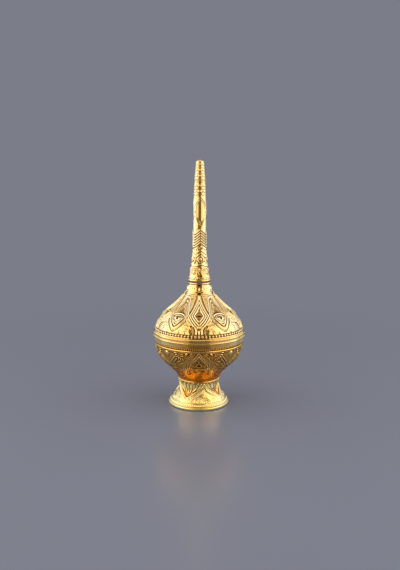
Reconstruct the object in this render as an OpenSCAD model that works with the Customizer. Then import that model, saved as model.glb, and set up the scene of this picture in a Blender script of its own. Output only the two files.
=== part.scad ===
// Rosewater sprinkler: a footed, bulbous bottle of gold plated sheet metal with a tall
// screw-on spout. It stands on its rim at z = 0, its axis is Z, and all lengths are in mm.

/* [Foot] */
// Width of the polished rim that the sprinkler stands on
rim_d = 62.2; // [58:0.2:66]
// Height of the polished rim
rim_h = 3.2; // [2.4:0.1:4]
// Width of the flat ring of metal in the rim, measured along the radius
rim_w = 2.8; // [2.2:0.1:4]
// Height of the foot, from the table to its top edge
foot_h = 26.2; // [24:0.2:32]
// Width of the foot at its top edge
foot_top_d = 42.6; // [41:0.2:46]
// Thickness of the sheet that the foot is pressed from
foot_wall = 1.2; // [0.8:0.1:1.6]
// Thickness of the disc soldered in the throat of the foot
web_t = 1.6; // [1.2:0.1:2.4]

/* [Waist] */
// Width of the beaded ring between foot and bowl
ring_d = 43.8; // [43.2:0.2:46]
// Height of the ring
ring_h = 1.8; // [1.4:0.1:2.6]
// Width of the hole in the ring
ring_bore_d = 34; // [28:0.5:36]

/* [Bottle] */
// Width of the bowl and of the dome where they meet, under the girdle
body_d = 91.2; // [86:0.2:96]
// Width of the bowl where it rises from the ring
stem_d = 42.8; // [41:0.2:43.4]
// Width of the bowl where its hollow stem turns into the round belly
turn_d = 68; // [63:0.5:70]
// Height from the ring to that turn
turn_h = 16; // [14:0.1:18]
// Height of the bowl, from the ring to its open edge
bowl_h = 43.4; // [41:0.2:48]
// Height of the dome, from the edge of the bowl to its mouth
dome_h = 56; // [53:0.2:60]
// Width of the dome where its shoulder turns into the neck
shoulder_d = 58; // [54:0.5:62]
// Height from the edge of the bowl to that turn
shoulder_h = 30.6; // [28:0.2:33]
// Width of the mouth at the top of the neck
neck_d = 23; // [22.6:0.1:25]
// Thickness of the sheet of the bowl and the dome
body_wall = 1.2; // [0.8:0.1:1.6]
// Thickness of the flat floor of the bowl
floor_t = 1.4; // [1:0.1:2]

/* [Girdle] */
// Height of the moulded strip that covers the joint of bowl and dome
girdle_h = 9.4; // [8:0.2:12]
// How far the strip reaches below the joint
girdle_drop = 2.6; // [2:0.1:3.4]
// Thickness of the strip at its plain edges
girdle_t = 0.7; // [0.5:0.05:1]
// Radius of its two half-round ridges
ridge_r = 1.2; // [0.9:0.05:1.4]
// Thickness of the strip inside the joint that both halves are soldered to
lap_t = 0.8; // [0.6:0.05:1.2]

/* [Spout] */
// Length of the spout, from its lower edge to the seam of the tip
spout_len = 99.7; // [90:0.1:110]
// Width of the spout at its lower edge
spout_base_d = 23; // [22.6:0.1:24]
// Width of the spout where its trumpet foot turns into the slender tube
spout_mid_d = 13.2; // [12.8:0.1:15]
// Height from the lower edge to that turn
spout_mid_h = 43; // [38:0.5:50]
// Width of the spout at the seam of the tip
spout_top_d = 10.8; // [10.4:0.1:12]
// Thickness of the metal of the spout
spout_wall = 1.2; // [1:0.1:1.4]
// Length of the pierced tip above the seam
tip_len = 21; // [18:0.2:26]
// Width of the tip below its round crown
tip_d = 7.8; // [7.4:0.1:8.4]
// Height of the round crown
crown_h = 2.4; // [2:0.1:3]
// Width of the bore of the tip
tip_bore_d = 5.6; // [5:0.1:6]
// Depth of the spigot of the tip in the spout
spigot_h = 6; // [4:0.5:8]
// Width of each sprinkling hole
hole_d = 1; // [0.8:0.1:1.2]
// Number of holes round the one in the middle
hole_count = 6; // [4:1:7]

/* [Screw joint] */
// Outer width of the thread on the neck
thread_d = 14; // [13.6:0.1:14.2]
// Rise of the thread in one turn
thread_pitch = 2.5; // [2.2:0.1:2.6]
// Height of the thread ridges above their root
thread_depth = 0.8; // [0.6:0.05:0.9]
// Turns that the spout makes before it lifts off
thread_turns = 4; // [3:1:4]
// Width of the mouth that the bottle is filled through
mouth_d = 9.6; // [8.4:0.1:10]
// Depth of the mouth insert in the neck
insert_h = 5.4; // [4:0.2:7]
// Height of the flange of the mouth insert
flange_h = 0.8; // [0.6:0.1:1.2]
// Thickness of the rubber washer
washer_t = 1; // [0.8:0.1:1.4]

/* [Foot screw] */
// Width of the stud under the bowl
stud_d = 6; // [5:0.5:7]
// Length of the stud below its flange
stud_len = 11.2; // [10.5:0.1:13]
// Width of the flange of the stud
stud_flange_d = 16; // [14:0.5:20]
// Width of the steel washer
steel_washer_d = 16; // [14:0.5:20]
// Thickness of the steel washer
steel_washer_t = 1; // [0.8:0.1:1.4]
// Width of the nut across its flats
nut_af = 10; // [9:0.5:12]
// Height of the nut
nut_h = 5; // [4:0.2:5.6]

/* [Hidden] */

GOLD = "gold";
BRASS = "goldenrod";
STEEL = "silver";
RUBBER = "dimgray";

// Clearances
solder_gap = 0.05;   // round a piece that is soldered in another
seat_gap = 0.05;     // above and below the rubber washer
stud_gap = 0.2;      // round the stud in the disc and the steel washer
thread_gap = 0.2;    // between the crests and the roots of the thread
gasket_gap = 0.25;   // round the thread in the rubber washer
lap_margin = 0.4;    // from the inner strip to the curve of the shoulder

// Fineness of the curves and of the thread
curve_steps = 14;
arc_steps = 8;
turn_steps = 20;
$fn = 72;

// Levels, from the table up
foot_top_z = foot_h;
ring_top_z = foot_top_z + ring_h;
belt_z = ring_top_z + bowl_h;
neck_z = belt_z + dome_h;
flange_top_z = neck_z + flange_h;
gasket_z = flange_top_z + seat_gap;
spout_z = gasket_z + washer_t + seat_gap;
tip_z = spout_z + spout_len;
top_z = tip_z + tip_len;

// Points and directions of a cubic curve through p[0] and p[3] with handles p[1] and p[2]
function curve_point(p, t) =
    pow(1 - t, 3) * p[0] + 3 * pow(1 - t, 2) * t * p[1] + 3 * (1 - t) * t * t * p[2] + pow(t, 3) * p[3];
function curve_slope(p, t) =
    3 * pow(1 - t, 2) * (p[1] - p[0]) + 6 * (1 - t) * t * (p[2] - p[1]) + 3 * t * t * (p[3] - p[2]);
function unit(v) = v / norm(v);

// The same curve moved inward, towards the axis, by a wall. Curves run upward.
function inward(v) = [-v[1], v[0]];
function wall_point(p, t, wall) = curve_point(p, t) + wall * inward(unit(curve_slope(p, t)));

// A run of points along one curve, or along the inner face of its wall
function run(p, wall = 0) = [for (i = [0 : curve_steps]) wall_point(p, i / curve_steps, wall)];
function tail(list) = [for (i = [1 : len(list) - 1]) list[i]];
function reversed(list) = [for (i = [len(list) - 1 : -1 : 0]) list[i]];

// Radius of a run of points at a height, and the part of a run above or below a height
function r_at(path, z) = lookup(z, [for (p = path) [p[1], p[0]]]);
function above(path, z) = concat([[r_at(path, z), z]], [for (p = path) if (p[1] > z) p]);
function below(path, z) = concat([for (p = path) if (p[1] < z) p], [[r_at(path, z), z]]);

// Points of an arc about [x, z]
function arc(x, z, r, from, to) =
    [for (i = [0 : arc_steps]) let (a = from + (to - from) * i / arc_steps) [x + r * cos(a), z + r * sin(a)]];

// Directions in which the curves leave their ends
stem_lean = unit([0.3, 1]);
waist_lean = unit([1.15, 1]);
shoulder_lean = unit([-1.18, 1]);
trumpet_lean = unit([-0.3, 1]);

// Outer curve of the foot, from the rim up
foot_curve = [[rim_d / 2 - 0.7, rim_h], [rim_d / 2 - 0.1, rim_h + 2],
              [foot_top_d / 2 - 4.3, foot_h - 11.6], [foot_top_d / 2, foot_h]];
foot_out = run(foot_curve);
foot_in = run(foot_curve, foot_wall);

// Outer curves of the bowl: a hollow stem, a round belly and an upright edge
turn_point = [turn_d / 2, ring_top_z + turn_h];
stem_foot = [stem_d / 2, ring_top_z];
stem_curve = [stem_foot, stem_foot + 7.5 * stem_lean, turn_point - 2 * waist_lean, turn_point];
belly_top = [body_d / 2, belt_z - girdle_drop];
belly_curve = [turn_point, turn_point + 3 * waist_lean, belly_top - [0, 15], belly_top];
bowl_out = concat(run(stem_curve), tail(run(belly_curve)), [[body_d / 2, belt_z]]);
bowl_in = concat(run(stem_curve, body_wall), tail(run(belly_curve, body_wall)),
                 [[body_d / 2 - body_wall, belt_z]]);

// Outer curves of the dome: an upright edge, a round shoulder and a hollow neck
neck_point = [shoulder_d / 2, belt_z + shoulder_h];
shoulder_foot = [body_d / 2, belt_z + girdle_h - girdle_drop];
shoulder_curve = [shoulder_foot, shoulder_foot + [0, 11.5], neck_point - 3 * shoulder_lean, neck_point];
neck_top = [neck_d / 2, neck_z];
neck_curve = [neck_point, neck_point + 10 * shoulder_lean, neck_top - [0, 10.8], neck_top];
dome_out = concat([[body_d / 2, belt_z]], run(shoulder_curve), tail(run(neck_curve)));
dome_in = concat([[body_d / 2 - body_wall, belt_z]], run(shoulder_curve, body_wall),
                 tail(run(neck_curve, body_wall)));

// Outer curves of the spout and of its tip
mid_point = [spout_mid_d / 2, spout_z + spout_mid_h];
spout_top = [spout_top_d / 2, tip_z];
trumpet_curve = [[spout_base_d / 2, spout_z], [spout_base_d / 2, spout_z] + 6 * trumpet_lean,
                 mid_point - [0, 18], mid_point];
tube_curve = [mid_point, mid_point + [0, 16], spout_top - [-0.8, 16], spout_top];
spout_out = concat(run(trumpet_curve), tail(run(tube_curve)));
spout_in = concat(run(trumpet_curve, spout_wall), tail(run(tube_curve, spout_wall)));
crown_z = top_z - crown_h;
tip_curve = [spout_top, spout_top + [-0.4, 7], [tip_d / 2 + 0.2, crown_z - 4], [tip_d / 2, crown_z]];
crown_curve = [[tip_d / 2, crown_z], [tip_d / 2 - 0.1, crown_z + crown_h * 0.7],
               [tip_d / 4, top_z], [0.2, top_z]];
tip_out = concat(run(tip_curve), tail(run(crown_curve)));

// Seat of the tip's spigot in the top of the spout
seat_r = spout_top_d / 2 - spout_wall - 0.1;
seat_z = tip_z - spigot_h - 0.3;

// Screw joint: radii of the ridges and the height that they cover
male_crest_r = thread_d / 2;
male_root_r = male_crest_r - thread_depth;
female_crest_r = male_root_r + thread_gap;
female_root_r = male_crest_r + thread_gap;
ridge_root_w = thread_pitch * 0.55;
ridge_crest_w = thread_pitch * 0.25;
thread_h = thread_turns * thread_pitch;
bush_z = spout_z + 0.2;
thread_z = bush_z + ridge_root_w / 2 + 0.1;
bush_top_z = thread_z + thread_h + ridge_root_w / 2 + 0.1;
collar_top_z = bush_top_z + 0.6;

// A closed ring from a run of outer and a run of inner points
module shell(outer, inner) {
    rotate_extrude()
        polygon(concat(outer, reversed(inner)));
}

// A flat ring
module washer(outer_d, bore_d, h) {
    difference() {
        cylinder(d = outer_d, h = h);
        translate([0, 0, -1])
            cylinder(d = bore_d, h = h + 2);
    }
}

// One helical ridge that rises from z = 0, from its root radius to its crest radius
module helix(root_r, crest_r) {
    steps = thread_turns * turn_steps;
    section = [[root_r, -ridge_root_w / 2], [crest_r, -ridge_crest_w / 2],
               [crest_r, ridge_crest_w / 2], [root_r, ridge_root_w / 2]];
    points = [for (i = [0 : steps]) let (a = 360 * i / turn_steps, z = thread_pitch * i / turn_steps)
              for (s = section) [s[0] * cos(a), s[0] * sin(a), z + s[1]]];
    sides = [for (i = [0 : steps - 1], k = [0 : 3])
             let (a = 4 * i + k, b = 4 * i + (k + 1) % 4)
             each [[a, b, b + 4], [a, b + 4, a + 4]]];
    last = 4 * steps;
    ends = [[3, 2, 1, 0], [last, last + 1, last + 2, last + 3]];
    faces = concat(sides, ends);
    polyhedron(points, crest_r > root_r ? faces : [for (f = faces) reversed(f)]);
}

// Polished rim: flat below, half round outside
module foot_rim() {
    inner_r = rim_d / 2 - rim_w;
    bulge = rim_h / 2 - 0.2;
    color(GOLD)
        rotate_extrude()
            polygon(concat([[inner_r, 0]], arc(rim_d / 2 - bulge, bulge, bulge, -90, 0),
                           [[rim_d / 2, rim_h - bulge]],
                           arc(rim_d / 2 - bulge, rim_h - bulge, bulge, 0, 90),
                           [[inner_r, rim_h]]));
}

// Foot: a flared shell, open above and below
module foot() {
    color(GOLD)
        shell(foot_out, below(above(foot_in, rim_h), foot_top_z));
}

// Disc soldered in the throat of the foot, with the hole for the stud
module foot_web() {
    low_z = foot_top_z - web_t;
    edge = [[r_at(foot_in, low_z) - solder_gap, low_z],
            [r_at(foot_in, foot_top_z) - solder_gap, foot_top_z]];
    color(BRASS)
        difference() {
            rotate_extrude()
                polygon(concat([[0, low_z]], edge, [[0, foot_top_z]]));
            translate([0, 0, low_z - 1])
                cylinder(d = stud_d + 2 * stud_gap, h = web_t + 2);
        }
}

// Ring with a rounded edge between foot and bowl
module waist_ring() {
    edge_r = ring_h / 2;
    color(GOLD)
        rotate_extrude()
            polygon(concat([[ring_bore_d / 2, foot_top_z]],
                           arc(ring_d / 2 - edge_r, foot_top_z + edge_r, edge_r, -90, 90),
                           [[ring_bore_d / 2, ring_top_z]]));
}

// Stud with a flange, brazed under the bowl and standing in the ring
module bowl_stud() {
    color(BRASS) {
        translate([0, 0, foot_top_z])
            cylinder(d = stud_flange_d, h = ring_h);
        translate([0, 0, foot_top_z - stud_len])
            cylinder(d = stud_d, h = stud_len);
    }
}

// Steel washer under the disc
module foot_washer() {
    color(STEEL)
        translate([0, 0, foot_top_z - web_t - steel_washer_t])
            washer(steel_washer_d, stud_d + 2 * stud_gap, steel_washer_t);
}

// Hexagon nut that pulls the foot up to the bowl
module foot_nut() {
    low_z = foot_top_z - web_t - steel_washer_t - nut_h;
    color(STEEL)
        translate([0, 0, low_z])
            difference() {
                cylinder(d = nut_af / cos(30), h = nut_h, $fn = 6);
                translate([0, 0, -1])
                    cylinder(d = stud_d + 2 * solder_gap, h = nut_h + 2);
            }
}

// Lower half of the bottle, with its flat floor
module bowl() {
    floor_z = ring_top_z + floor_t;
    color(GOLD)
        shell(concat([[0, ring_top_z]], bowl_out), concat([[0, floor_z]], above(bowl_in, floor_z)));
}

// Strip inside the joint of the two halves
module lap_ring() {
    outer_r = body_d / 2 - body_wall - solder_gap;
    color(BRASS)
        translate([0, 0, belt_z - girdle_drop])
            washer(2 * outer_r, 2 * (outer_r - lap_t), girdle_h - lap_margin);
}

// Moulded strip outside the joint: a plain lower edge and two half-round ridges
module girdle() {
    inner_r = body_d / 2 + solder_gap;
    plain_r = inner_r + girdle_t;
    low_z = belt_z - girdle_drop;
    high_z = low_z + girdle_h;
    ridge_z = [high_z - 3 * ridge_r - 1.1, high_z - ridge_r - 0.3];
    color(GOLD)
        rotate_extrude()
            polygon(concat([[inner_r, low_z], [plain_r, low_z]],
                           arc(plain_r, ridge_z[0], ridge_r, -90, 90),
                           arc(plain_r, ridge_z[1], ridge_r, -90, 90),
                           [[plain_r, high_z], [inner_r, high_z]]));
}

// Upper half of the bottle, from the joint to the mouth
module dome() {
    color(GOLD)
        shell(dome_out, dome_in);
}

// Mouth insert: a plug soldered in the neck, a flange on its edge and the thread above
module neck_collar() {
    plug_r = neck_d / 2 - body_wall - solder_gap;
    color(BRASS)
        difference() {
            union() {
                translate([0, 0, neck_z - insert_h])
                    cylinder(r = plug_r, h = insert_h + flange_h);
                translate([0, 0, neck_z])
                    cylinder(d = neck_d, h = flange_h);
                translate([0, 0, neck_z])
                    cylinder(r = male_root_r, h = collar_top_z - neck_z);
                translate([0, 0, thread_z])
                    rotate([0, 0, 180])
                        helix(male_root_r - 0.3, male_crest_r);
            }
            translate([0, 0, neck_z - insert_h - 1])
                cylinder(d = mouth_d, h = collar_top_z - neck_z + insert_h + 2);
        }
}

// Rubber washer between the flange and the spout
module neck_gasket() {
    color(RUBBER)
        translate([0, 0, gasket_z])
            washer(neck_d - 1, thread_d + 2 * gasket_gap, washer_t);
}

// Threaded bush soldered in the lower end of the spout
module spout_bush() {
    outer = [for (p = above(below(spout_in, bush_top_z), bush_z)) p - [solder_gap, 0]];
    color(BRASS)
        union() {
            shell(outer, [[female_root_r, bush_z], [female_root_r, bush_top_z]]);
            translate([0, 0, thread_z])
                helix(female_root_r + 0.25, female_crest_r);
        }
}

// Spout: a trumpet foot and a slender tube, with the seat of the tip at its top
module spout() {
    color(GOLD)
        shell(spout_out,
              concat(below(above(spout_in, spout_z), seat_z), [[seat_r, seat_z], [seat_r, tip_z]]));
}

// Pierced tip with its spigot
module sprinkler_tip() {
    spigot_r = seat_r - solder_gap;
    crown_wall = 1.4;
    ring_r = tip_bore_d / 2 - hole_d;
    color(GOLD)
        difference() {
            union() {
                rotate_extrude()
                    polygon(concat([[0, tip_z]], tip_out, [[0, top_z]]));
                translate([0, 0, tip_z - spigot_h])
                    cylinder(r = spigot_r, h = spigot_h + 1);
            }
            translate([0, 0, tip_z - spigot_h - 1])
                cylinder(d = tip_bore_d, h = spigot_h + tip_len - crown_wall + 1);
            translate([0, 0, top_z - crown_h - 2])
                cylinder(d = hole_d, h = crown_h + 4);
            for (i = [0 : hole_count - 1])
                rotate([0, 0, 360 * i / hole_count])
                    translate([ring_r, 0, top_z - crown_h - 2])
                        cylinder(d = hole_d, h = crown_h + 4);
        }
}

foot_rim();
foot();
foot_web();
waist_ring();
bowl_stud();
foot_washer();
foot_nut();
bowl();
lap_ring();
girdle();
dome();
neck_collar();
neck_gasket();
spout_bush();
spout();
sprinkler_tip();
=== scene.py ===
# Rosewater sprinkler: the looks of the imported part. Every raised line, bead and leaf is a
# stroke laid over a smooth turned form, and the metal skin is pressed down over the strokes.
import math

import bpy
import numpy as np
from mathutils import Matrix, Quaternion, Vector


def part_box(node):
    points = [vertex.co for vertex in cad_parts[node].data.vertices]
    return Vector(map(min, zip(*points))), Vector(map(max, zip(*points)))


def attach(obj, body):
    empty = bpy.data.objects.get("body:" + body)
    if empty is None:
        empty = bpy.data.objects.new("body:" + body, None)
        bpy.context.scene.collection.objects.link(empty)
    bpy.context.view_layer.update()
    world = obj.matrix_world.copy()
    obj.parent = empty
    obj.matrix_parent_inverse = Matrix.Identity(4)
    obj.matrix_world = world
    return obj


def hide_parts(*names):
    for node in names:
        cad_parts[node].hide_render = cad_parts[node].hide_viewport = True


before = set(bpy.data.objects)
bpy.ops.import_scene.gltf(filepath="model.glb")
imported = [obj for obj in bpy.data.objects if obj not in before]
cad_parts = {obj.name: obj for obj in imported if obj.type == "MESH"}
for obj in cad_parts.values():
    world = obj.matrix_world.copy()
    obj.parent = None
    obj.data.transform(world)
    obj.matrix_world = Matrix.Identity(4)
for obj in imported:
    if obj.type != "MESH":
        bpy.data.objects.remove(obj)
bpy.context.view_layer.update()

MM = 0.001
WALL = 1.2          # mm, thickness of the sheet
LIFT = 3.0          # mm, how far the skin is lifted before it is pressed down
DEEPEST = 2.0       # mm, the depth that a weight of 1 sinks a field to
PAST = 2.0          # mm, how far the ground under the skin runs past its ends
AROUND = 5          # cells to each side over which the level round a spot is averaged
PIT_SHADE = 1.3     # where the shade of a pit ends, when the pit itself ends at 1
FLOOR_STEP = 0.5    # mm, the least height over a floor of the next point of its wall
TURN_JOIN = 1e-6    # m, within which the first and last points of a turn merge
WELD = 2e-6         # m, within which the points of a finished piece merge
SMOOTH = 60         # degrees, above which an edge stays sharp
HOLE_R = 0.5        # mm, radius of a hole in the tip
HOLES_OUT = 1.8     # mm, from the axis to the ring of holes

# How many times the ornament repeats round each part
DOME_REPEATS = 5
BOWL_REPEATS = 4
FOOT_REPEATS = 4
TRUMPET_REPEATS = 4
TUBE_REPEATS = 3
# Turn of the foot's and of the spout's ornament against the bottle's, in degrees
FOOT_TURN = 16
SPOUT_TURN = 9


# Outlines

def cubic(p0, p1, p2, p3, steps=60):
    """Points of one cubic curve."""
    t = np.linspace(0, 1, steps + 1)[:, None]
    p0, p1, p2, p3 = (np.array(p, float) for p in (p0, p1, p2, p3))
    return (1 - t) ** 3 * p0 + 3 * (1 - t) ** 2 * t * p1 + 3 * (1 - t) * t * t * p2 + t ** 3 * p3


def leaning(across, up):
    """Unit direction in an outline, from its steps across and up."""
    direction = np.array([across, up], float)
    return direction / np.linalg.norm(direction)


class Outline:
    """The outer outline of a turned form, from the bottom up, as (radius, height) in mm."""

    def __init__(self, curves):
        self.points = np.vstack([curves[0][:1]] + [curve[1:] for curve in curves])
        steps = np.diff(self.points, axis=0)
        self.length = np.concatenate([[0], np.cumsum(np.hypot(*steps.T))])
        slope = np.gradient(self.points, self.length, axis=0)
        slope /= np.linalg.norm(slope, axis=1)[:, None]
        self.outward = np.column_stack([slope[:, 1], -slope[:, 0]])
        self.low, self.high = self.points[0, 1], self.points[-1, 1]

    def radius(self, height):
        return np.interp(height, self.points[:, 1], self.points[:, 0])

    def normal(self, height):
        """Radial and vertical parts of the outward direction at a height."""
        return [np.interp(height, self.points[:, 1], self.outward[:, k]) for k in (0, 1)]

    def rows(self, spacing, inward=0.0):
        """Points spaced evenly along the outline, moved inward by a wall."""
        count = max(2, round(self.length[-1] / spacing)) + 1
        along = np.linspace(0, self.length[-1], count)
        out = [np.interp(along, self.length, self.outward[:, k]) for k in (0, 1)]
        return np.column_stack(
            [np.interp(along, self.length, self.points[:, k]) - inward * out[k] for k in (0, 1)])

    def beyond(self, reach):
        """A point past each end of the outline, along it, in mm."""
        low = self.points[0] - reach * np.array([-self.outward[0, 1], self.outward[0, 0]])
        high = self.points[-1] + reach * np.array([-self.outward[-1, 1], self.outward[-1, 0]])
        return low[None], high[None]

    def place(self, angle, height, proud):
        """Points in metres, from angles in degrees from the front, heights and offsets in mm."""
        turn = np.radians(angle)
        out_r, out_z = self.normal(height)
        r = self.radius(height) + proud * out_r
        z = height + proud * out_z
        return np.column_stack([r * np.sin(turn), -r * np.cos(turn), z]) * MM

    def step(self, angle, height, across, up):
        """The (angle, height) reached from a spot by real steps across and up the surface."""
        out_r, _ = self.normal(height)
        return (angle + np.degrees(across / self.radius(height)), height + up * out_r)


# Strokes: paths over a form with a half width and a height at each point

class Stroke:
    """One raised stroke: its path in (angle, height), its half width and its rise in mm.
    swell is its share of that rise at each point, and base the level that it rises from."""

    def __init__(self, path, width, rise, swell=1.0, base=0.0):
        self.path = np.array(path, float)
        depth = (width ** 2 - rise ** 2) / (2 * rise)
        self.radius = depth + rise * swell * np.ones(len(self.path))
        self.proud = base - depth

    def carried(self, angle, mirrored=False):
        """The same stroke, turned round the form by an angle, or its mirror image."""
        copy = Stroke.__new__(Stroke)
        copy.path = self.path * ([-1, 1] if mirrored else [1, 1]) + [angle, 0]
        copy.radius, copy.proud = self.radius, self.proud
        return copy


def flow(*points, steps=6):
    """A smooth path through points."""
    p = np.array(points, float)
    p = np.vstack([2 * p[0] - p[1], p, 2 * p[-1] - p[-2]])
    path = []
    for a, b, c, d in zip(p[:-3], p[1:-2], p[2:-1], p[3:]):
        for t in np.arange(steps) / steps:
            path.append(0.5 * (2 * b + (c - a) * t + (2 * a - 5 * b + 4 * c - d) * t ** 2
                               + (3 * b - a - 3 * c + d) * t ** 3))
    return path + [p[-2]]


def straight(*points, steps=8):
    """A path with corners, in short straight steps."""
    path = []
    for a, b in zip(points[:-1], points[1:]):
        path += [np.array(a) + (np.array(b) - np.array(a)) * t / steps for t in range(steps)]
    return path + [np.array(points[-1])]


def line(path, width, rise, base=0.0):
    """A line of one width from end to end."""
    return Stroke(path, width, rise, base=base)


def fading(path, width, rise, both=False, base=0.0):
    """A line that thins out towards its end, or towards both its ends."""
    t = np.linspace(0, 1, len(path))
    return Stroke(path, width, rise, 1 - (2 * t - 1) ** 2 if both else 1 - t ** 2, base)


def vein(*points, width=0.45, rise=0.35):
    """A fine line through points, thin at both its ends."""
    return fading(flow(*points), width, rise, both=True)


def seed(outline, angle, height, length, width, rise, turn=0.0, blunt=0.5, base=0.0, steps=10):
    """A bead, leaf or drop that lies on a form, its long way turned from upright in degrees.
    blunt sets where it is widest: 0.5 in the middle, less nearer its lower end."""
    t = np.linspace(0, 1, steps + 1)
    lean = math.radians(turn)
    along = (t - 0.5) * length
    path = np.column_stack(outline.step(angle, height, along * math.sin(lean), along * math.cos(lean)))
    s = t ** (math.log(0.5) / math.log(blunt))
    return Stroke(path, width, rise, 1 - (2 * s - 1) ** 2, base)


def seeds(outline, *rows):
    """Several seeds, each from its own row of numbers in the order that seed takes them."""
    return [seed(outline, *numbers) for numbers in rows]


def arc(outline, angle, height, radius, start, end, steps=14):
    """Part of a circle on a form. 0 points across to the right, and 90 up."""
    turn = np.radians(np.linspace(start, end, steps + 1))
    return np.column_stack(outline.step(angle, height, radius * np.cos(turn), radius * np.sin(turn)))


def ring(height, width, rise, steps=180):
    """A line all round."""
    return Stroke([(a, height) for a in np.linspace(-180, 180, steps + 1)], width, rise)


def row(outline, count, height, length, width, rise, base, blunt=0.5):
    """Upright beads or petals set evenly all round."""
    return [seed(outline, 360 * k / count, height, length, width, rise, 0, blunt, base)
            for k in range(count)]


def ribs(outline, path, count, length, width, rise, lean, base=0.0):
    """Short leaves set side by side along a path, each turned from the path's own direction."""
    path = np.array(path, float)
    strokes = []
    for t in (np.arange(count) + 0.5) / count * (len(path) - 1):
        low = int(t)
        step = path[low + 1] - path[low]
        here = path[low] + step * (t - low)
        across = math.radians(step[0]) * outline.radius(here[1])
        up = step[1] / max(outline.normal(here[1])[0], 0.3)
        heading = math.degrees(math.atan2(across, up)) + lean
        strokes.append(seed(outline, *here, length, width, rise, heading, blunt=0.4, base=base))
    return strokes


def fan(outline, angle, height, reach, headings, length, width, rise, base):
    """Leaves that spread from a centre on a form. A heading of 0 is up, and 90 to the right."""
    strokes = []
    for heading in headings:
        turn = math.radians(heading)
        spot = outline.step(angle, height, reach * math.sin(turn), reach * math.cos(turn))
        strokes.append(seed(outline, *spot, length, width, rise, heading, blunt=0.62, base=base))
    return strokes


def groove(outline, path, width, depth):
    """A smooth sunk field along a path, of a width and a depth in mm."""
    path = np.array(path, float)
    run = np.gradient(path, axis=0)
    run[:, 0] *= np.radians(outline.radius(path[:, 1]))
    run /= np.linalg.norm(run, axis=1)[:, None]
    off = np.column_stack([-run[:, 1], run[:, 0]]) * width / 2
    left, right = ([outline.step(*spot, *move) for spot, move in zip(path, side)] for side in (off, -off))
    return left + right[::-1], depth, 0


def stepped(corners, centre, depth, grain, steps=3):
    """Sunk fields that go down in small steps towards a centre, with sloping sides."""
    corners, centre = np.array(corners, float), np.array(centre, float)
    return [(centre + (corners - centre) * (1 - k / steps), depth * (k + 1) / steps, grain)
            for k in range(steps)]


def repeated(paired, single, repeats, turn=0.0):
    """Strokes of half a repeat and those on its axis, carried round the whole form."""
    strokes = []
    for k in range(repeats):
        angle = 360 * k / repeats + turn
        for stroke in paired:
            strokes += [stroke.carried(angle), stroke.carried(angle, mirrored=True)]
        strokes += [stroke.carried(angle) for stroke in single]
    return strokes


# Meshes

def only(obj):
    """Select one object alone and make it the active one."""
    bpy.ops.object.select_all(action="DESELECT")
    obj.select_set(True)
    bpy.context.view_layer.objects.active = obj


def applied(obj, name):
    """Make one of an object's modifiers part of its mesh."""
    only(obj)
    bpy.ops.object.modifier_apply(modifier=name)


def drawn(name, splines, thickness=0.0):
    """A mesh from open splines, each with points in metres and radii that thickness multiplies."""
    curve = bpy.data.curves.new(name, "CURVE")
    curve.dimensions = "3D"
    curve.bevel_depth = thickness
    curve.bevel_resolution = 2
    curve.use_fill_caps = thickness > 0
    for points, radius in splines:
        spline = curve.splines.new("POLY")
        spline.points.add(len(points) - 1)
        spline.points.foreach_set("co", np.column_stack([points, np.ones(len(points))]).ravel())
        spline.points.foreach_set("radius", np.asarray(radius, float))
    obj = bpy.data.objects.new(name, curve)
    bpy.context.collection.objects.link(obj)
    only(obj)
    bpy.ops.object.convert(target="MESH")
    return bpy.context.active_object


def welded(obj):
    """Merge the points that coincide and turn all faces outward."""
    only(obj)
    bpy.ops.object.mode_set(mode="EDIT")
    bpy.ops.mesh.select_all(action="SELECT")
    bpy.ops.mesh.remove_doubles(threshold=WELD)
    bpy.ops.mesh.normals_make_consistent(inside=False)
    bpy.ops.object.mode_set(mode="OBJECT")


def turned(name, sections, columns):
    """Surfaces turned from open sections in (radius, height), in mm."""
    paths = [np.insert(np.array(section, float), 1, 0, axis=1) * MM for section in sections]
    obj = drawn(name, [(path, np.ones(len(path))) for path in paths])
    screw = obj.modifiers.new("turn", "SCREW")
    screw.steps = screw.render_steps = columns
    screw.use_merge_vertices = True
    screw.merge_threshold = TURN_JOIN
    screw.use_normal_flip = True
    applied(obj, "turn")
    return obj


def positions(obj):
    """Places of a mesh's points in metres."""
    co = np.empty(len(obj.data.vertices) * 3)
    obj.data.vertices.foreach_get("co", co)
    return co.reshape(-1, 3)


def polar(co):
    """Angles from the front in degrees, radii and heights in mm."""
    x, y, z = co.T / MM
    return np.degrees(np.arctan2(x, -y)), np.hypot(x, y), z


def inside(x, y, corners):
    """Which points lie inside a polygon."""
    found = np.zeros(len(x), bool)
    for (x0, y0), (x1, y1) in zip(corners, np.roll(corners, -1, axis=0)):
        crosses = (y0 > y) != (y1 > y)
        reach = x0 + (y - y0) * (x1 - x0) / (y1 - y0 if y1 != y0 else 1)
        found ^= crosses & (x < reach)
    return found


def folded(angle, repeats, turn=0.0):
    """Angles folded into half a repeat, from 0 on its axis to its edge."""
    whole = 360 / repeats
    return np.abs((angle - turn + whole / 2) % whole - whole / 2)


def weigh(obj, name, weights):
    """A vertex group from an array of weights."""
    group = obj.vertex_groups.new(name=name)
    for level in np.unique(weights[weights > 0]):
        group.add(np.flatnonzero(weights == level).tolist(), float(level), "ADD")
    return name


def note(obj, name, values):
    """A number kept at each vertex, for the finish to read."""
    attribute = obj.data.attributes.new(name, "FLOAT", "POINT")
    attribute.data.foreach_set("value", np.asarray(values, np.float32))


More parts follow.
